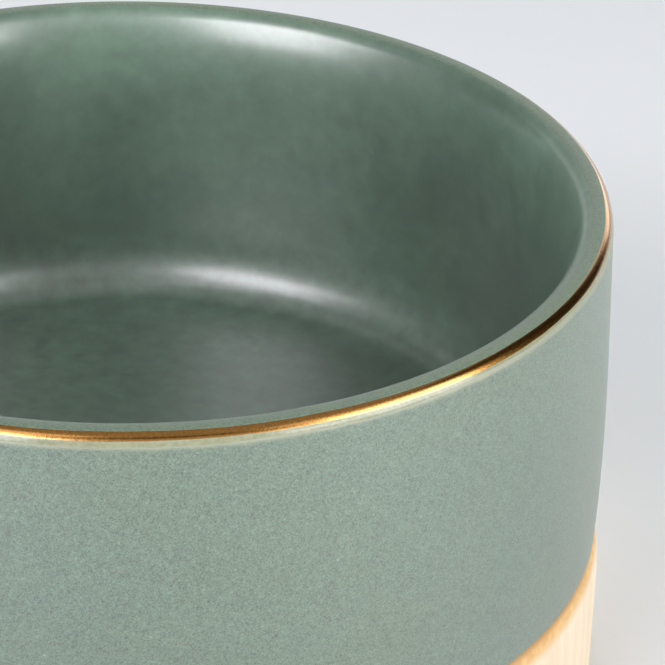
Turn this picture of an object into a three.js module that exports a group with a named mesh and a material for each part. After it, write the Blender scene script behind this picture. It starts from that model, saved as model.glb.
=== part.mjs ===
// A round glazed ceramic pet bowl standing in a turned wooden base.
// Millimetres, +Z up, the underside of the base on z = 0, the axis on X = Y = 0.
import * as THREE from 'three';

// ---- driving dimensions -----------------------------------------------------
const SEGMENTS = 96;            // facets round the axis

const BASE_HEIGHT = 28.0;       // wooden base, ground to top ledge
const BASE_RADIUS = 81.35;      // its outer wall
const BASE_EDGE_R = 2.0;        // rounding of its top outer edge, across
const BASE_EDGE_Z = 8.5;        // and down
const BASE_FOOT_CHAMFER = 1.0;  // chamfer round its underside
const GAP = 0.3;                // between ceramic and wood
const FOOT_RADIUS = 74.0;       // ceramic foot that stands in the recess
const FOOT_DEPTH = 6.5;         // foot below the ceramic's shoulder
const FOOT_RING = 10.0;         // width of the foot ring
const FOOT_RECESS = 2.2;        // hollow inside the foot ring

const WALL_HEIGHT = 59.2;       // ceramic shoulder to rim top
const WALL_RADIUS = 80.0;       // outer wall just under the rim
const SHOULDER_EDGE = 0.4;      // rounding where the wall meets the ledge
const LIP_OUT_R = 2.3;          // rounding of the rim's outer edge, across
const LIP_OUT_Z = 2.7;          // and down
const INNER_RADIUS = 74.25;     // inner edge of the inner lip's full rounding
const LIP_IN = 3.0;             // radius of that rounding
const LIP_JOIN = 26 * Math.PI / 180; // tilt at which it runs on into the inner wall
const LIP_FADE = 4.2;           // depth over which that tilt dies away
const BOWL_DEPTH = 56.1;        // rim top to floor at the fillet
const FLOOR_DISH = 0.8;         // floor lower in the middle by this
const FILLET_R = 7.2;           // rounding between inner wall and floor, across
const FILLET_Z = 12.6;          // and up

// ---- derived levels ---------------------------------------------------------
const SHOULDER_Z = BASE_HEIGHT + GAP;
const RIM_Z = SHOULDER_Z + WALL_HEIGHT;
const FOOT_Z = SHOULDER_Z - FOOT_DEPTH;
const FLOOR_Z = RIM_Z - BOWL_DEPTH;

// outer wall radius at a depth below the rim top: a slight belly that tucks in
// again just above the wooden base
function wallRadius(depth) {
  const s = Math.max(0, depth - LIP_OUT_Z) / WALL_RADIUS;
  return WALL_RADIUS * (1 + 0.041 * s - 0.016 * s * s - 0.0614 * s ** 4);
}

// inner wall radius at a depth below the rim top, from where the lip's rounding ends
const JOIN_A = Math.PI - LIP_JOIN;
const JOIN_R = INNER_RADIUS + LIP_IN * (1 + Math.cos(JOIN_A));
const JOIN_D = LIP_IN * (1 - Math.sin(JOIN_A));
function innerRadius(depth) {
  return JOIN_R - Math.tan(LIP_JOIN) * LIP_FADE * (1 - Math.exp(-(depth - JOIN_D) / LIP_FADE));
}

// quarter ellipse from angle a0 to a1 about (cr, cz)
function arc(points, cr, cz, rr, rz, a0, a1, steps, skipFirst = false) {
  for (let i = skipFirst ? 1 : 0; i <= steps; i++) {
    const a = a0 + (a1 - a0) * (i / steps);
    points.push(new THREE.Vector2(cr + rr * Math.cos(a), cz + rz * Math.sin(a)));
  }
}

// lathe profiles run anticlockwise in the (radius, height) half plane, from the
// axis at the bottom to the axis at the top
function ceramicProfile() {
  const p = [];
  const footInner = FOOT_RADIUS - FOOT_RING;
  p.push(new THREE.Vector2(0, FOOT_Z + FOOT_RECESS));
  p.push(new THREE.Vector2(footInner - 1.5, FOOT_Z + FOOT_RECESS));
  p.push(new THREE.Vector2(footInner, FOOT_Z));
  p.push(new THREE.Vector2(FOOT_RADIUS - 0.8, FOOT_Z));
  p.push(new THREE.Vector2(FOOT_RADIUS, FOOT_Z + 0.8));
  p.push(new THREE.Vector2(FOOT_RADIUS, SHOULDER_Z));
  // shoulder and its rounded edge
  const rShoulder = wallRadius(WALL_HEIGHT - SHOULDER_EDGE);
  arc(p, rShoulder - SHOULDER_EDGE, SHOULDER_Z + SHOULDER_EDGE, SHOULDER_EDGE, SHOULDER_EDGE,
    -Math.PI / 2, 0, 2);
  // outer wall upward
  for (const depth of [50, 40, 30, 20, 10, 5]) p.push(new THREE.Vector2(wallRadius(depth), RIM_Z - depth));
  // rim: outer rounding, flat top, inner rounding
  arc(p, WALL_RADIUS - LIP_OUT_R, RIM_Z - LIP_OUT_Z, LIP_OUT_R, LIP_OUT_Z, 0, Math.PI / 2, 5);
  arc(p, INNER_RADIUS + LIP_IN, RIM_Z - LIP_IN, LIP_IN, LIP_IN, Math.PI / 2, JOIN_A, 4);
  // inner wall downward
  for (const depth of [3.2, 5.5, 9, 16]) p.push(new THREE.Vector2(innerRadius(depth), RIM_Z - depth));
  // fillet into the floor, then the shallow dish to the axis
  const rw = innerRadius(BOWL_DEPTH);
  arc(p, rw - FILLET_R, FLOOR_Z + FILLET_Z, FILLET_R, FILLET_Z, 0, -Math.PI / 2, 6);
  p.push(new THREE.Vector2(35, FLOOR_Z - 0.75 * FLOOR_DISH));
  p.push(new THREE.Vector2(0, FLOOR_Z - FLOOR_DISH));
  return p;
}

function baseProfile() {
  const p = [];
  p.push(new THREE.Vector2(0, 0));
  p.push(new THREE.Vector2(BASE_RADIUS - BASE_FOOT_CHAMFER, 0));
  p.push(new THREE.Vector2(BASE_RADIUS, BASE_FOOT_CHAMFER));
  arc(p, BASE_RADIUS - BASE_EDGE_R, BASE_HEIGHT - BASE_EDGE_Z, BASE_EDGE_R, BASE_EDGE_Z, 0, Math.PI / 2, 5);
  p.push(new THREE.Vector2(FOOT_RADIUS + GAP, BASE_HEIGHT));
  p.push(new THREE.Vector2(FOOT_RADIUS + GAP, FOOT_Z - GAP));
  p.push(new THREE.Vector2(0, FOOT_Z - GAP));
  return p;
}

// LatheGeometry turns about Y: the profile is turned about Y, then stood up so
// that Y becomes +Z
function turned(points) {
  const g = new THREE.LatheGeometry(points, SEGMENTS);
  g.rotateX(Math.PI / 2);
  return g;
}

const glaze = new THREE.MeshStandardMaterial({ color: 0x9aa89b, roughness: 0.5, metalness: 0.0 });
const wood = new THREE.MeshStandardMaterial({ color: 0xe9d3b0, roughness: 0.6, metalness: 0.0 });

const bowl = new THREE.Mesh(turned(ceramicProfile()), glaze);
bowl.name = 'ceramic_bowl';

const base = new THREE.Mesh(turned(baseProfile()), wood);
base.name = 'wooden_base';

const part = new THREE.Group();
part.add(bowl, base);

export default part;
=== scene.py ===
import math

import bpy
import numpy as np
from mathutils import Matrix, Vector


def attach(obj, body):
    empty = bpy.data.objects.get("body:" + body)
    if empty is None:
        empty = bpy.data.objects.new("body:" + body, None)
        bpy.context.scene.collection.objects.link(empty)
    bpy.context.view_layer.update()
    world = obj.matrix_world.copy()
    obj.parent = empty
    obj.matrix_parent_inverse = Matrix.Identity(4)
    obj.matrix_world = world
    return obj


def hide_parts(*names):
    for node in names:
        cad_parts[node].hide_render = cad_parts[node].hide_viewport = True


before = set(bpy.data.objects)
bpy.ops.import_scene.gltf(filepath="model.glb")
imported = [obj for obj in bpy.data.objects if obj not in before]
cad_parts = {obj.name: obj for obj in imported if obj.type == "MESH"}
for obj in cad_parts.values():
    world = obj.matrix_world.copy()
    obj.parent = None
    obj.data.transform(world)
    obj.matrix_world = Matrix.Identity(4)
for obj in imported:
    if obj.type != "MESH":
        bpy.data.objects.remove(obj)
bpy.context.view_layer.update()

MM = 0.001

# ---- the CAD's driving dimensions, in millimetres ----------------------------
BASE_HEIGHT = 28.0
BASE_RADIUS = 81.35
BASE_EDGE_R, BASE_EDGE_Z = 2.0, 8.5
BASE_FOOT_CHAMFER = 1.0
GAP = 0.3
FOOT_RADIUS = 74.0
FOOT_DEPTH = 6.5
FOOT_RING = 10.0
FOOT_RECESS = 2.2
WALL_HEIGHT = 59.2
WALL_RADIUS = 80.0
SHOULDER_EDGE = 0.4
LIP_OUT_R = 2.3
LIP_OUT_Z = 2.7
INNER_RADIUS = 74.25
LIP_IN_R = 3.0
LIP_IN_Z = 3.0
LIP_JOIN = math.radians(26)    # tilt at which the lip rounding runs on into the wall
LIP_FADE = 4.2                 # and the depth over which that tilt dies away
BOWL_DEPTH = 56.1
FLOOR_DISH = 0.8
FILLET_R, FILLET_Z = 7.2, 12.6
SHOULDER_Z = BASE_HEIGHT + GAP
RIM_Z = SHOULDER_Z + WALL_HEIGHT
FOOT_Z = SHOULDER_Z - FOOT_DEPTH
FLOOR_Z = RIM_Z - BOWL_DEPTH

# gold line and halo, as depths below the rim top on the outer side
GOLD_TOP_ANGLE = math.radians(21.3)   # on the outer rounding, from straight up
GOLD_END_DEPTH = 1.20
HALO_END_DEPTH = 2.06     # the glassy part of the halo; its tint fades out below
GLOSS_START_TILT = math.radians(70)   # the glassy inside begins here on the inner rounding


def wall_radius(depth):
    s = max(0.0, depth - LIP_OUT_Z) / WALL_RADIUS
    return WALL_RADIUS * (1 + 0.041 * s - 0.016 * s * s - 0.0614 * s ** 4)


# the lip's rounding is a quarter ellipse down to the tilt LIP_JOIN; below it the tilt dies away
JOIN_T = math.pi - math.atan(math.tan(LIP_JOIN) * LIP_IN_Z / LIP_IN_R)
JOIN_R = INNER_RADIUS + LIP_IN_R * (1 + math.cos(JOIN_T))
JOIN_D = LIP_IN_Z * (1 - math.sin(JOIN_T))


def inner_radius(depth):
    return JOIN_R - math.tan(LIP_JOIN) * LIP_FADE * (1 - math.exp(-(depth - JOIN_D) / LIP_FADE))


# ---- camera ------------------------------------------------------------------
def make_camera():
    f_px, size_px = 3293.6, 665.0
    psi, pitch, roll = (math.radians(a) for a in (4.030, 28.803, 1.691))
    cam = bpy.data.cameras.new("camera")
    cam.sensor_fit = "AUTO"
    cam.sensor_width = 36.0
    cam.lens = f_px / size_px * 36.0
    cam.clip_start, cam.clip_end = 0.05, 50.0
    o = bpy.data.objects.new("camera", cam)
    bpy.context.scene.collection.objects.link(o)
    fwd = Vector((math.sin(psi) * math.cos(pitch), math.cos(psi) * math.cos(pitch), -math.sin(pitch)))
    right = Vector((math.cos(psi), -math.sin(psi), 0.0))
    up = right.cross(fwd)
    x = right * math.cos(roll) + up * math.sin(roll)
    y = up * math.cos(roll) - right * math.sin(roll)
    m = Matrix((x, y, -fwd)).transposed().to_4x4()
    m.translation = Vector((0.0, -6.0969 * WALL_RADIUS * MM, (RIM_Z + 3.0192 * WALL_RADIUS) * MM))
    o.matrix_world = m
    bpy.context.scene.camera = o
    return o


make_camera()

# ---- smooth seeded waves, for hand-made unevenness -----------------------------
rng = np.random.default_rng(8591)


class Waves:
    """A sum of plane waves through space with wavelengths between lo and hi, about -1..1."""

    def __init__(self, lo, hi, count=18):
        d = rng.normal(size=(count, 3))
        d /= np.linalg.norm(d, axis=1)[:, None]
        self.k = d * (2 * np.pi / np.exp(rng.uniform(np.log(lo), np.log(hi), count)))[:, None]
        self.p = rng.uniform(0, 2 * np.pi, count)
        self.n = math.sqrt(count) * 1.1

    def __call__(self, xyz):
        return np.sin(xyz @ self.k.T + self.p).sum(-1) / self.n


class Ring:
    """The same round a circle: a sum of harmonics from lo to hi, about -1..1."""

    def __init__(self, lo, hi):
        self.h = np.arange(lo, hi + 1)
        self.a = rng.normal(size=len(self.h)) / np.sqrt(self.h)
        self.a /= np.sqrt((self.a ** 2).sum()) * 1.3
        self.p = rng.uniform(0, 2 * np.pi, len(self.h))

    def __call__(self, th):
        return (self.a * np.sin(np.multiply.outer(th, self.h) + self.p)).sum(-1)


# ---- a turned mesh -------------------------------------------------------------
def turned(name, rings, segments, materials, slots=None):
    """rings is (n, segments, 3) in millimetres, its first and last ring on the axis.
    slots gives the material index of each band between two rings."""
    n = len(rings)
    verts = [rings[0, 0]]
    verts.extend(rings[1:-1].reshape(-1, 3))
    verts.append(rings[-1, 0])
    verts = np.array(verts) * MM
    last = len(verts) - 1
    j = np.arange(segments)
    k = (j + 1) % segments
    loops, starts, totals, mat = [], [], [], []
    at = 0

    def add(faces, size, index):
        nonlocal at
        faces = np.asarray(faces)
        loops.append(faces.reshape(-1))
        starts.append(at + size * np.arange(len(faces)))
        totals.append(np.full(len(faces), size))
        mat.append(np.full(len(faces), index))
        at += faces.size

    slots = slots if slots is not None else [0] * (n - 1)
    add(np.stack([np.zeros_like(j), 1 + k, 1 + j], 1), 3, slots[0])
    for i in range(n - 3):
        a, b = 1 + i * segments, 1 + (i + 1) * segments
        add(np.stack([a + j, a + k, b + k, b + j], 1), 4, slots[i + 1])
    a = 1 + (n - 3) * segments
    add(np.stack([a + j, a + k, np.full_like(j, last)], 1), 3, slots[n - 2])
    loops, starts, totals, mat = (np.concatenate(x) for x in (loops, starts, totals, mat))
    me = bpy.data.meshes.new(name)
    me.vertices.add(len(verts))
    me.vertices.foreach_set("co", verts.astype(np.float32).reshape(-1))
    me.loops.add(len(loops))
    me.loops.foreach_set("vertex_index", loops.astype(np.int32))
    me.polygons.add(len(starts))
    me.polygons.foreach_set("loop_start", starts.astype(np.int32))
    me.polygons.foreach_set("material_index", mat.astype(np.int32))
    me.polygons.foreach_set("use_smooth", np.ones(len(starts), bool))
    for m in materials:
        me.materials.append(m)
    me.update(calc_edges=True)
    me.validate()
    o = bpy.data.objects.new(name, me)
    bpy.context.scene.collection.objects.link(o)
    return o


def arc(cr, cz, rr, rz, a0, a1, n):
    a = np.radians(np.linspace(a0, a1, n + 1))
    return np.stack([cr + rr * np.cos(a), cz + rz * np.sin(a)], 1)


def line(p, q, n):
    return np.array(p) + (np.array(q) - np.array(p)) * np.linspace(0, 1, n + 1)[:, None]


def joined(*runs):
    out = [runs[0]]
    for r in runs[1:]:
        out.append(r[1:] if np.allclose(out[-1][-1], r[0], atol=1e-6) else r)
    return np.concatenate(out)


# ---- ceramic bowl ----------------------------------------------------------------
def ceramic_profile():
    fi = FOOT_RADIUS - FOOT_RING
    zr = FOOT_Z + FOOT_RECESS
    rs = wall_radius(WALL_HEIGHT - SHOULDER_EDGE)
    under = joined(
        line((0, zr), (fi - 2.2, zr), 6),
        arc(fi - 2.2, zr - 0.8, 0.8, 0.8, 90, 45, 3),
        line((fi - 2.2 + 0.8 * math.cos(math.pi / 4), zr - 0.8 + 0.8 * math.sin(math.pi / 4)), (fi - 0.3, FOOT_Z + 0.3), 2),
        arc(fi + 0.4, FOOT_Z + 0.6, 0.8, 0.6, 205, 270, 3),
        line((fi + 0.4, FOOT_Z), (FOOT_RADIUS - 0.8, FOOT_Z), 3),
        arc(FOOT_RADIUS - 0.8, FOOT_Z + 0.8, 0.8, 0.8, -90, 0, 5),
        line((FOOT_RADIUS, FOOT_Z + 0.8), (FOOT_RADIUS, SHOULDER_Z - 0.5), 3),
        arc(FOOT_RADIUS + 0.5, SHOULDER_Z - 0.5, 0.5, 0.5, 180, 90, 3),
        line((FOOT_RADIUS + 0.5, SHOULDER_Z), (rs - SHOULDER_EDGE, SHOULDER_Z), 3),
        arc(rs - SHOULDER_EDGE, SHOULDER_Z + SHOULDER_EDGE, SHOULDER_EDGE, SHOULDER_EDGE, -90, 0, 7),
    )
    wall_d = np.concatenate([np.linspace(WALL_HEIGHT - SHOULDER_EDGE, 6.0, 34), [4.8, 4.1, 3.5]])
    wall = np.array([[wall_radius(d), RIM_Z - d] for d in wall_d])
    lip_out = arc(WALL_RADIUS - LIP_OUT_R, RIM_Z - LIP_OUT_Z, LIP_OUT_R, LIP_OUT_Z, 0, 90, 22)
    lip_in = arc(INNER_RADIUS + LIP_IN_R, RIM_Z - LIP_IN_Z, LIP_IN_R, LIP_IN_Z, 90, math.degrees(JOIN_T), 16)
    in_d = np.concatenate([JOIN_D + 0.22 * np.arange(0, 12) ** 1.45, np.linspace(10.5, BOWL_DEPTH - FILLET_Z, 18)])
    inner = np.array([[inner_radius(d), RIM_Z - d] for d in in_d])
    rw = inner_radius(BOWL_DEPTH)
    fillet = arc(rw - FILLET_R, FLOOR_Z + FILLET_Z, FILLET_R, FILLET_Z, 0, -90, 24)
    rf = np.linspace(rw - FILLET_R, 0.0, 16)
    dish = np.stack([rf, FLOOR_Z - FLOOR_DISH * (1 - (rf / rf[0]) ** 2)], 1)
    return joined(under, wall, lip_out, lip_in, inner, fillet, dish)


def arc_length(p):
    return np.concatenate([[0], np.cumsum(np.linalg.norm(np.diff(p, axis=0), axis=1))])


def ceramic_rings(segments):
    p = ceramic_profile()
    # the gold's two edges become rings of their own
    s = arc_length(p)
    ca = (WALL_RADIUS - LIP_OUT_R, RIM_Z - LIP_OUT_Z)
    top = np.array([ca[0] + LIP_OUT_R * math.sin(GOLD_TOP_ANGLE), ca[1] + LIP_OUT_Z * math.cos(GOLD_TOP_ANGLE)])
    ez = RIM_Z - GOLD_END_DEPTH
    end = np.array([ca[0] + LIP_OUT_R * math.sqrt(1 - ((ez - ca[1]) / LIP_OUT_Z) ** 2), ez])
    out = (p[:, 0] > 76) & (p[:, 1] > RIM_Z - 8)

    def s_at(q):
        best = None
        for i in np.where(out[:-1] & out[1:])[0]:
            a, b = p[i], p[i + 1]
            t = np.clip(np.dot(q - a, b - a) / np.dot(b - a, b - a), 0, 1)
            d = np.linalg.norm(a + t * (b - a) - q)
            if best is None or d < best[0]:
                best = (d, s[i] + t * (s[i + 1] - s[i]))
        return best[1]

    low = np.array([ca[0] + LIP_OUT_R * math.sqrt(1 - (1 - HALO_END_DEPTH / LIP_OUT_Z) ** 2), RIM_Z - HALO_END_DEPTH])
    s_low, s_end, s_top = s_at(low), s_at(end), s_at(top)          # the profile runs up the outer wall
    rg = INNER_RADIUS + LIP_IN_R * (1 - math.cos(GLOSS_START_TILT))
    near = np.where((p[:, 1] > RIM_Z - 1) & (p[:, 0] < 77.0))[0]
    s_in = float(np.interp(-rg, -p[near, 0], s[near]))
    marks = [s_low, s_end, s_top, s_in]
    fine_p = p
    keep = s[np.min(np.abs(s[:, None] - np.array(marks)), axis=1) > 0.06]
    ss = np.sort(np.concatenate([keep, marks]))
    i_low, i_end, i_top, i_in = (int(np.searchsorted(ss, m)) for m in marks)
    th = 2 * np.pi * np.arange(segments) / segments
    side = np.clip((np.cos(th + math.radians(10)) - 0.62) / 0.24, 0, 1)
    shift_low = 0.13 * Ring(3, 30)(th) + 0.05 * Ring(40, 110)(th) + 0.5 * side * side * (3 - 2 * side)
    shift_end = 0.08 * Ring(3, 26)(th) + 0.03 * Ring(40, 110)(th)
    shift_top = 0.05 * Ring(3, 22)(th) + 0.02 * Ring(40, 110)(th)
    w_low = np.clip(1 - np.abs(ss - s_low) / 0.8, 0, 1)
    w_end = np.clip(1 - np.abs(ss - s_end) / 0.8, 0, 1)
    w_top = np.clip(1 - np.abs(ss - s_top) / 0.7, 0, 1)
    st = ss[:, None] + w_low[:, None] * shift_low + w_end[:, None] * shift_end + w_top[:, None] * shift_top
    r = np.interp(st, s, fine_p[:, 0])
    z = np.interp(st, s, fine_p[:, 1])
    rings = np.stack([r * np.cos(th), r * np.sin(th), z], -1)
    # slip-cast unevenness: the outer wall and the inside move a few hundredths
    wide, mid = Waves(45, 120), Waves(16, 40)
    amp = 0.045 * (np.clip(wide(rings), -1, 1) - 1) + 0.012 * (np.clip(mid(rings), -1, 1) - 1)
    wall = (r > 79.0) & (z < RIM_Z - 3) & (z > SHOULDER_Z + 1.5)
    inside = (r < 75.2) & (r > 20) & (z > FLOOR_Z - 1)
    fade_w = np.clip((RIM_Z - 3 - z) / 6, 0, 1) * np.clip((z - SHOULDER_Z - 1.5) / 5, 0, 1)
    dr = np.where(wall, amp * fade_w, 0.0) + np.where(inside & (z > FLOOR_Z + 8), 0.5 * amp * np.clip((RIM_Z - 4 - z) / 6, 0, 1), 0.0)
    rings[..., 0] += dr * np.cos(th)
    rings[..., 1] += dr * np.sin(th)
    rings[0, :, :2] = 0
    rings[-1, :, :2] = 0
    slots = [0] * (len(ss) - 1)
    for i in range(i_low, i_end):
        slots[i] = 3
    for i in range(i_end, i_top):
        slots[i] = 1
    for i in range(i_in, len(slots)):
        slots[i] = 2
    return rings, slots


# ---- wooden base -------------------------------------------------------------------
def base_rings(segments):
    c = BASE_FOOT_CHAMFER
    b = 0.35
    R, H, er, ez = BASE_RADIUS, BASE_HEIGHT + 0.22, BASE_EDGE_R, BASE_EDGE_Z
    ri = FOOT_RADIUS + GAP
    zf = FOOT_Z - GAP
    p = joined(
        line((0, 0), (R - c - b, 0), 10),
        line((R - c - b, 0), (R - c - 0.3 * b, 0.1), 1),
        line((R - c - 0.3 * b, 0.1), (R - 0.1, c - 0.3 * b), 2),
        line((R - 0.1, c - 0.3 * b), (R, c + b), 1),
        line((R, c + b), (R, H - ez), 18),
        arc(R - er, H - ez, er, ez, 0, 90, 20),
        line((R - er, H), (ri + 0.4, H), 6),
        arc(ri + 0.4, H - 0.4, 0.4, 0.4, 90, 180, 4),
        line((ri, H - 0.4), (ri, zf + 0.3), 4),
        line((ri, zf + 0.3), (ri - 0.3, zf), 1),
        line((ri - 0.3, zf), (0, zf), 10),
    )
    p[:, 0] = np.minimum(p[:, 0], R)
    th = 2 * np.pi * np.arange(segments) / segments
    r = np.repeat(p[:, :1], segments, 1)
    z = np.repeat(p[:, 1:], segments, 1)
    rings = np.stack([r * np.cos(th), r * np.sin(th), z], -1)
    # sanded unevenness of the top edge
    edge = np.clip(1 - np.abs(z - H + 1) / 4, 0, 1) * (r > R - 2)
    d = 0.03 * (np.clip(Waves(8, 30)(rings), -1, 1) - 1) * edge
    rings[..., 0] += d * np.cos(th)
    rings[..., 1] += d * np.sin(th)
    rings[..., 2] += d
    rings[0, :, :2] = 0
    rings[-1, :, :2] = 0
    return rings


# ---- node helpers --------------------------------------------------------------------
class Tree:
    def __init__(self, name):
        self.mat = bpy.data.materials.new(name)
        self.mat.use_nodes = True
        self.t = self.mat.node_tree
        self.t.nodes.clear()
        self.out = self.t.nodes.new("ShaderNodeOutputMaterial")

    def node(self, kind, inputs=None, **props):
        n = self.t.nodes.new(kind)
        for k, v in props.items():
            setattr(n, k, v)
        for k, v in (inputs or {}).items():
            self.set(n.inputs[k], v)
        return n

    def set(self, socket, v):
        if isinstance(v, bpy.types.NodeSocket):
            self.t.links.new(v, socket)
        elif isinstance(v, (tuple, list)) and socket.type == "RGBA" and len(v) == 3:
            socket.default_value = (*v, 1.0)
        else:
            socket.default_value = v

    def math(self, op, a, b=None, c=None, clamp=False):
        n = self.t.nodes.new("ShaderNodeMath")
        n.operation = op
        n.use_clamp = clamp
        for i, v in enumerate((a, b, c)):
            if v is not None:
                self.set(n.inputs[i], v)
        return n.outputs[0]

    def ramp(self, x, lo, hi, a=0.0, b=1.0, smooth=True):
        n = self.node("ShaderNodeMapRange", {0: x, 1: lo, 2: hi, 3: a, 4: b},
                      interpolation_type="SMOOTHSTEP" if smooth else "LINEAR")
        return n.outputs[0]

    def mix(self, f, a, b):
        n = self.t.nodes.new("ShaderNodeMix")
        n.data_type = "RGBA"
        self.set(n.inputs[0], f)
        self.set(n.inputs[6], a)
        self.set(n.inputs[7], b)
        return n.outputs[2]

    def scaled(self, colour, f):
        n = self.t.nodes.new("ShaderNodeVectorMath")
        n.operation = "SCALE"
        self.set(n.inputs[0], colour)
        self.set(n.inputs["Scale"], f)
        return n.outputs[0]

    def noise(self, vec, scale, detail=2.0, rough=0.5, lac=2.0, out="Fac"):
        n = self.node("ShaderNodeTexNoise", {"Vector": vec, "Scale": scale, "Detail": detail, "Roughness": rough, "Lacunarity": lac})
        return n.outputs[out]

    def place(self):
        """Position (metres, turned askew so that the noises' lattices don't line up with the
        axes), radius and height in millimetres."""
        tc = self.node("ShaderNodeTexCoord").outputs["Object"]
        s = self.node("ShaderNodeSeparateXYZ", {0: tc})
        r = self.math("SQRT", self.math("ADD", self.math("MULTIPLY", s.outputs[0], s.outputs[0]),
                                        self.math("MULTIPLY", s.outputs[1], s.outputs[1])))
        skew = self.node("ShaderNodeMapping", {"Vector": tc, "Location": (0.173, 0.291, 0.119), "Rotation": (0.5, 0.8, 0.3)})
        return skew.outputs[0], self.math("MULTIPLY", r, 1000.0), self.math("MULTIPLY", s.outputs[2], 1000.0)


# ---- glaze -----------------------------------------------------------------------------
WALL = (0.087, 0.133, 0.093)
WALL_HIGH = (0.096, 0.148, 0.103)
# painted light: the rim top is the wall's own glaze painted lighter, standing in for the sheen and light that fall on
# its upward face
RIM_TOP_LIT = (0.124, 0.176, 0.124)
INSIDE = (0.094, 0.149, 0.105)
HALO = (0.248, 0.260, 0.172)
STONEWARE = (0.50, 0.45, 0.37)


def tint(c, f, g=None, h=None):
    g = f if g is None else g
    h = f if h is None else h
    return (c[0] * f, c[1] * g, c[2] * h)


def fine_grain(t, pos):
    """Grains of a quarter of a millimetre over wider mottling, about 0.5 on average."""
    g1 = t.noise(pos, 3900.0, 1.0, 0.6)
    g2 = t.noise(pos, 1500.0, 2.0, 0.6)
    g3 = t.noise(pos, 420.0, 2.0, 0.5)
    g = t.math("MULTIPLY_ADD", g1, 0.66, t.math("MULTIPLY_ADD", g2, 0.26, t.math("MULTIPLY", g3, 0.08)))
    return g, g1, g2


def matt_glaze():
    """Outside wall, rim top and the bare foot."""
    t = Tree("glaze_matt")
    pos, r, z = t.place()
    g, g1, g2 = fine_grain(t, pos)
    wall = t.ramp(z, RIM_Z - 1.0, RIM_Z - 2.4)
    foot = t.ramp(z, SHOULDER_Z + 0.15, SHOULDER_Z - 0.1)
    high = t.mix(t.ramp(z, SHOULDER_Z + 8, RIM_Z - 4, smooth=False), WALL, WALL_HIGH)
    # painted light: the rim top takes the lighter-painted copy of the wall glaze
    col = t.mix(wall, RIM_TOP_LIT, high)
    low = t.noise(pos, 24.0, 3.0, 0.55)
    hue = t.mix(t.ramp(low, 0.34, 0.66), (0.975, 1.0, 1.035), (1.03, 1.0, 0.965))
    n = t.node("ShaderNodeVectorMath", {0: col, 1: hue}, operation="MULTIPLY")
    # lightness follows the grain
    top = t.math("SUBTRACT", 1.0, wall)
    k = t.math("MULTIPLY_ADD", t.math("SUBTRACT", g, 0.5), t.math("MULTIPLY_ADD", top, -1.6, 3.6), 1.0)
    k = t.math("MAXIMUM", k, 0.2)
    col = t.scaled(n.outputs[0], k)
    # rare darker iron specks and paler crystals
    v = t.node("ShaderNodeTexVoronoi", {"Vector": pos, "Scale": 230.0, "Randomness": 1.0}, feature="F1")
    pick = t.node("ShaderNodeSeparateColor", {0: v.outputs["Color"]})
    dot = t.ramp(v.outputs["Distance"], 0.085, 0.035)
    col = t.mix(t.math("MULTIPLY", t.math("MULTIPLY", dot, t.math("GREATER_THAN", pick.outputs[0], 0.88)), 0.6), col, (0.040, 0.050, 0.033))
    col = t.mix(t.math("MULTIPLY", t.math("MULTIPLY", dot, t.math("LESS_THAN", pick.outputs[0], 0.07)), 0.45), col, (0.30, 0.36, 0.30))
    # the halo's tint dies away below its glassy part
    wob = t.noise(pos, 300.0, 2.0, 0.6)
    zz = t.math("MULTIPLY_ADD", t.math("SUBTRACT", wob, 0.5), 0.8, z)
    fade = t.math("MULTIPLY", t.ramp(zz, RIM_Z - HALO_END_DEPTH - 0.85, RIM_Z - HALO_END_DEPTH + 0.15), t.ramp(r, 78.9, 79.5))
    col = t.mix(t.math("MULTIPLY", fade, 0.9), col, HALO)
    clay = t.mix(t.ramp(t.noise(pos, 900.0, 3.0, 0.7), 0.3, 0.7), tint(STONEWARE, 0.84), STONEWARE)
    col = t.mix(foot, col, clay)
    rough = t.math("MULTIPLY_ADD", t.math("SUBTRACT", g, 0.5), 0.3, 0.50)
    rough = t.node("ShaderNodeMix", {0: foot, 2: rough, 3: 0.85}, data_type="FLOAT").outputs[0]
    # the fired skin is a weak rough layer of its own on the wall
    skin = t.math("MULTIPLY", wall, t.math("SUBTRACT", 1.0, foot))
    swell = t.noise(pos, 60.0, 2.0, 0.5)
    h = t.math("MULTIPLY_ADD", swell, 0.8, g)
    bump = t.node("ShaderNodeBump", {"Strength": 0.5, "Distance": 0.00006, "Height": h})
    b = t.node("ShaderNodeBsdfPrincipled", {"Base Color": col, "Roughness": rough, "Normal": bump.outputs[0], "IOR": 1.5,
                                            "Coat Weight": skin, "Coat Roughness": 0.46, "Coat IOR": 1.95})
    t.t.links.new(b.outputs[0], t.out.inputs[0])
    return t.mat


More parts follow.
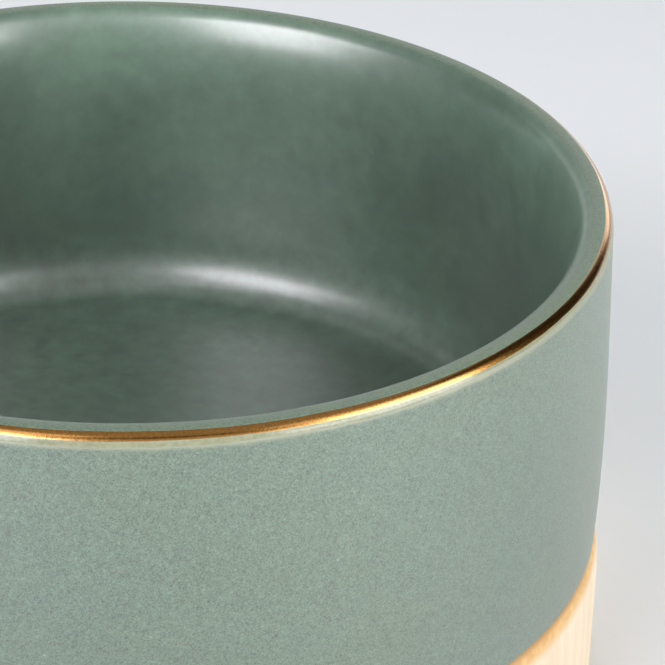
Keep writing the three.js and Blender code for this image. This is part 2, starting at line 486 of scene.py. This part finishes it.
def gloss_glaze():
    """The inside."""
    t = Tree("glaze_gloss")
    pos, r, z = t.place()
    tc = t.node("ShaderNodeTexCoord").outputs["Object"]
    cloud = t.noise(pos, 48.0, 4.0, 0.58)
    wide = t.noise(pos, 15.0, 2.0, 0.5)
    col = t.mix(t.ramp(cloud, 0.34, 0.68), tint(INSIDE, 0.89, 0.90, 0.89), tint(INSIDE, 1.11, 1.10, 1.11))
    col = t.mix(t.math("MULTIPLY", t.ramp(wide, 0.4, 0.7), 0.5), col, tint(INSIDE, 0.93, 0.97, 1.0))
    # painted highlight: paler towards the rim top, standing in for the soft tail of the lip's highlight
    col = t.scaled(col, t.ramp(z, RIM_Z - 20, RIM_Z - 6, 1.0, 1.19))
    # painted shade: darker patches where the inside falls darker, partly the glaze's own uneven tone
    swirl = t.math("MULTIPLY", t.math("SUBTRACT", cloud, 0.5), 0.05)
    shade_patches = None
    for at, radius, depth in (((-0.050, 0.056, 0.056), 0.050, 0.27), ((0.070, 0.016, 0.046), 0.042, 0.30), ((0.044, 0.056, 0.044), 0.032, 0.10), ((-0.030, -0.064, 0.050), 0.040, 0.12),
                              ((-0.014, 0.071, 0.052), 0.031, 0.20), ((-0.026, 0.069, 0.085), 0.020, 0.22), ((0.060, 0.038, 0.055), 0.030, 0.15), ((0.037, 0.034, 0.031), 0.020, 0.30), ((0.056, 0.046, 0.082), 0.032, 0.18)):
        d = t.node("ShaderNodeVectorMath", {0: tc, 1: at}, operation="DISTANCE").outputs["Value"]
        k = t.ramp(t.math("ADD", d, t.math("MULTIPLY", swirl, radius * 8)), radius * 0.35, radius, 1.0 - depth, 1.0)
        shade_patches = k if shade_patches is None else t.math("MULTIPLY", shade_patches, k)
    col = t.scaled(col, shade_patches)
    # mottled on the floor, calmer on the wall
    mottle = t.noise(pos, 330.0, 2.0, 0.55)
    depth = t.ramp(z, RIM_Z - 52, RIM_Z - 42, 1.0, 0.5)
    col = t.scaled(col, t.math("MULTIPLY_ADD", t.math("SUBTRACT", mottle, 0.5), depth, 1.0))
    fine = t.noise(pos, 900.0, 3.0, 0.6)
    col = t.scaled(col, t.math("MULTIPLY_ADD", t.math("SUBTRACT", fine, 0.5), 0.25, 1.0))
    lip = t.ramp(r, 74.5, 75.8)          # the gloss sets in gradually over the inner rounding
    rough = t.math("MULTIPLY_ADD", lip, 0.04, t.math("MULTIPLY_ADD", t.math("SUBTRACT", cloud, 0.5), 0.12, 0.47))
    swell = t.noise(pos, 60.0, 3.0, 0.5)
    bump = t.node("ShaderNodeBump", {"Strength": 0.35, "Distance": 0.00006, "Height": t.math("MULTIPLY_ADD", swell, 1.6, t.math("MULTIPLY", fine, 0.10))})
    coat = t.math("SUBTRACT", 1.0, lip)
    b = t.node("ShaderNodeBsdfPrincipled", {"Base Color": col, "Roughness": rough, "Normal": bump.outputs[0], "IOR": 1.7,
                                            "Coat Weight": coat, "Coat Roughness": 0.28, "Coat IOR": 1.78})
    t.t.links.new(b.outputs[0], t.out.inputs[0])
    return t.mat


def halo_glaze():
    """The glassy pale band under the gold."""
    t = Tree("glaze_halo")
    pos, r, z = t.place()
    g = t.noise(pos, 1250.0, 2.0, 0.6)
    low = t.noise(pos, 140.0, 2.0, 0.5)
    col = t.mix(t.ramp(g, 0.35, 0.65), tint(HALO, 0.90), tint(HALO, 1.10))
    col = t.mix(t.math("MULTIPLY", t.ramp(low, 0.4, 0.7), 0.5), col, tint(HALO, 1.04, 1.0, 0.90))
    swell = t.noise(pos, 60.0, 3.0, 0.5)
    bump = t.node("ShaderNodeBump", {"Strength": 0.35, "Distance": 0.00006, "Height": t.math("MULTIPLY_ADD", swell, 1.6, t.math("MULTIPLY", g, 0.12))})
    rough = t.math("MULTIPLY_ADD", g, 0.10, 0.10)
    b = t.node("ShaderNodeBsdfPrincipled", {"Base Color": col, "Roughness": rough, "Normal": bump.outputs[0], "IOR": 1.52})
    t.t.links.new(b.outputs[0], t.out.inputs[0])
    return t.mat


def gold_material():
    """Fired lustre: a worn metal film under a thin clear skin."""
    t = Tree("gold_line")
    pos, r, z = t.place()
    g = t.noise(pos, 2600.0, 2.0, 0.7)
    low = t.noise(pos, 160.0, 2.0, 0.5)
    col = t.mix(t.ramp(g, 0.36, 0.64), (0.42, 0.185, 0.024), (0.52, 0.243, 0.046))
    col = t.mix(t.math("MULTIPLY", t.ramp(low, 0.35, 0.7), 0.30), col, (0.44, 0.20, 0.03))
    # the film thins out towards the halo and lets the glaze through
    thin = t.math("MULTIPLY", t.ramp(t.math("MULTIPLY_ADD", t.math("SUBTRACT", g, 0.5), 0.5, z), RIM_Z - GOLD_END_DEPTH + 0.24, RIM_Z - GOLD_END_DEPTH - 0.10), 0.75)
    col = t.mix(thin, col, (0.36, 0.25, 0.10))
    metal = t.math("MULTIPLY_ADD", thin, -0.6, 1.0)
    rough = t.math("MULTIPLY_ADD", g, 0.08, 0.175)
    bump = t.node("ShaderNodeBump", {"Strength": 0.4, "Distance": 0.00003, "Height": t.math("MULTIPLY_ADD", low, 0.8, g)})
    b = t.node("ShaderNodeBsdfPrincipled", {"Base Color": col, "Roughness": rough, "Metallic": metal, "Normal": bump.outputs[0],
                                            "IOR": 1.6, "Coat Weight": 0.65, "Coat Roughness": 0.15, "Coat IOR": 1.65})
    t.t.links.new(b.outputs[0], t.out.inputs[0])
    return t.mat


# ---- wood --------------------------------------------------------------------------------
def wood_material():
    t = Tree("wood")
    pos, r, z = t.place()
    # fibres run up the wall: stretched along Z
    upright = t.node("ShaderNodeTexCoord").outputs["Object"]
    fib = t.node("ShaderNodeMapping", {"Vector": upright, "Location": (0.137, 0.211, 0.05), "Rotation": (0.0, 0.0, 0.4), "Scale": (1.0, 1.0, 0.035)}).outputs[0]
    f1 = t.noise(fib, 1500.0, 3.0, 0.6)
    f2 = t.noise(fib, 260.0, 2.0, 0.5)
    warp = t.noise(pos, 14.0, 2.0, 0.5)
    c = t.mix(t.ramp(f2, 0.32, 0.68), (0.66, 0.54, 0.40), (0.72, 0.61, 0.47))
    c = t.mix(t.math("MULTIPLY", t.ramp(f1, 0.55, 0.35), 0.30), c, (0.56, 0.43, 0.29))
    c = t.mix(t.math("MULTIPLY", t.ramp(warp, 0.4, 0.7), 0.22), c, (0.65, 0.52, 0.37))
    # painted shade along the top edge: a deeper honey band, partly the contact shadow under the bowl and partly the
    # oiled end grain's own deeper tone, running out downward
    wz = t.math("MULTIPLY_ADD", t.math("SUBTRACT", t.noise(pos, 420.0, 3.0, 0.6), 0.5), 1.0, z)
    honey_and_contact_shade = t.mix(t.ramp(t.noise(pos, 420.0, 3.0, 0.6), 0.35, 0.65), (0.53, 0.29, 0.085), (0.64, 0.40, 0.150))
    oiled_edge_and_shade_band = t.ramp(wz, BASE_HEIGHT - 4.2, BASE_HEIGHT - 1.7)
    ring = t.ramp(r, 74.0, 75.0)
    c = t.mix(t.math("MULTIPLY", t.math("MULTIPLY", oiled_edge_and_shade_band, ring), 0.90), c, honey_and_contact_shade)
    # painted contact shadow: dark brown right where the bowl sits on the wood
    contact_shadow_mask = t.ramp(wz, BASE_HEIGHT - 1.6, BASE_HEIGHT + 0.1)
    c = t.mix(t.math("MULTIPLY", t.math("MULTIPLY", contact_shadow_mask, ring), 0.8), c, (0.26, 0.130, 0.037))
    rough = t.math("ADD", 0.50, t.math("MULTIPLY", f1, 0.16))
    bump = t.node("ShaderNodeBump", {"Strength": 0.4, "Distance": 0.00007, "Height": t.math("ADD", f1, t.math("MULTIPLY", f2, 0.8))})
    b = t.node("ShaderNodeBsdfPrincipled", {"Base Color": c, "Roughness": rough, "Normal": bump.outputs[0]})
    t.t.links.new(b.outputs[0], t.out.inputs[0])
    return t.mat


SEG_C, SEG_W = 448, 384
rings, slots = ceramic_rings(SEG_C)
bowl = turned("ceramic_bowl_glazed", rings, SEG_C, [matt_glaze(), gold_material(), gloss_glaze(), halo_glaze()], slots)
base = turned("wooden_base_turned", base_rings(SEG_W), SEG_W, [wood_material()])
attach(bowl, "root")
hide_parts("ceramic_bowl")
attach(base, "root")
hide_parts("wooden_base")

# ---- floor ---------------------------------------------------------------------------------
def floor():
    me = bpy.data.meshes.new("floor")
    s = 3.0
    me.from_pydata([(-s, -s, 0), (s, -s, 0), (s, s, 0), (-s, s, 0)], [], [(0, 1, 2, 3)])
    o = bpy.data.objects.new("floor", me)
    bpy.context.scene.collection.objects.link(o)
    t = Tree("floor")
    # plain pale card with painted light and shade: darker at the front and towards the back, lighter in between,
    # evening out the lamps' fall-off and the bowl's shadow on it
    y = t.node("ShaderNodeSeparateXYZ", {0: t.node("ShaderNodeTexCoord").outputs["Object"]}).outputs[1]
    front = t.ramp(y, -0.03, 0.05)
    back = t.ramp(y, 0.15, 0.30)
    c = t.mix(front, (0.665, 0.675, 0.69), (0.835, 0.86, 0.885))
    c = t.mix(back, c, (0.705, 0.73, 0.75))
    b = t.node("ShaderNodeBsdfPrincipled", {"Base Color": c, "Roughness": 0.75, "Specular IOR Level": 0.2})
    t.t.links.new(b.outputs[0], t.out.inputs[0])
    me.materials.append(t.mat)
    return o


floor()

# ---- light -----------------------------------------------------------------------------
def area(name, az, el, w, h, radiance, dist=4.0, colour=(1.0, 1.0, 1.0)):
    """A rectangular light that faces the bowl; azimuth runs clockwise from +Y seen from above."""
    l = bpy.data.lights.new(name, "AREA")
    l.shape = "RECTANGLE"
    l.size, l.size_y = w, h
    l.energy = math.pi * w * h * radiance
    l.color = colour
    o = bpy.data.objects.new(name, l)
    a, e = math.radians(az), math.radians(el)
    d = Vector((math.sin(a) * math.cos(e), math.cos(a) * math.cos(e), math.sin(e)))
    o.location = Vector((0, 0, 0.06)) + d * dist
    o.rotation_mode = "QUATERNION"
    o.rotation_quaternion = d.to_track_quat("Z", "Y")
    o.visible_camera = False
    bpy.context.scene.collection.objects.link(o)
    return o


def panel(name, az0, az1, el0, el1, radiance, dist=4.0, colour=(1.0, 1.0, 1.0)):
    """A softbox between two azimuths and two elevations seen from the bowl, in degrees."""
    w = 2 * math.tan(math.radians((az1 - az0) / 2)) * dist * math.cos(math.radians((el0 + el1) / 2))
    h = 2 * math.tan(math.radians((el1 - el0) / 2)) * dist
    return area(name, (az0 + az1) / 2, (el0 + el1) / 2, w, h, radiance, dist, colour)


COOL = (0.985, 0.965, 1.02)
panel("left_box", 202, 235, 0, 19, 6.3, colour=COOL)
panel("left_box_low", 211, 232, 0, 10, 2.2, colour=COOL)
panel("left_box_mid", 200, 246, 19, 26, 8.6, colour=COOL)
panel("left_box_upper", 196, 235, 26, 35, 9.0, colour=COOL)
panel("left_box_high", 204, 240, 35, 45, 5.4, colour=COOL)
panel("left_box_top", 193, 230, 45, 60, 1.4, colour=COOL)
panel("right_box", 99, 132, 0, 39, 7.4)
panel("right_box_fringe", 93, 100, 20, 39, 2.2)
panel("right_box_low", 132, 148, 0, 14, 6.5)
panel("right_box_mid", 132, 150, 14, 30, 3.0)
panel("right_box_top", 95, 145, 39, 50, 1.2)
panel("back_low", -20, 40, 0, 14, 2.1)
panel("back", -20, 40, 14, 39, 1.25)
panel("back_left", 310, 340, 0, 22, 0.86)
panel("back_top", -15, 25, 39, 50, 1.7)
panel("front", 152, 196, 18, 42, 0.55)
area("ceiling", 0, 90, 6.0, 6.0, 0.40)

world = bpy.data.worlds.new("world")
bpy.context.scene.world = world
world.use_nodes = True
wt = world.node_tree
wt.nodes.clear()
wo = wt.nodes.new("ShaderNodeOutputWorld")
wb = wt.nodes.new("ShaderNodeBackground")
wb.inputs[0].default_value = (0.95, 0.98, 1.0, 1.0)
wb.inputs[1].default_value = 0.01
wt.links.new(wb.outputs[0], wo.inputs[0])

scene = bpy.context.scene
scene.view_settings.view_transform = "Standard"
scene.view_settings.look = "None"
scene.view_settings.exposure = 0.0
scene.view_settings.gamma = 1.0
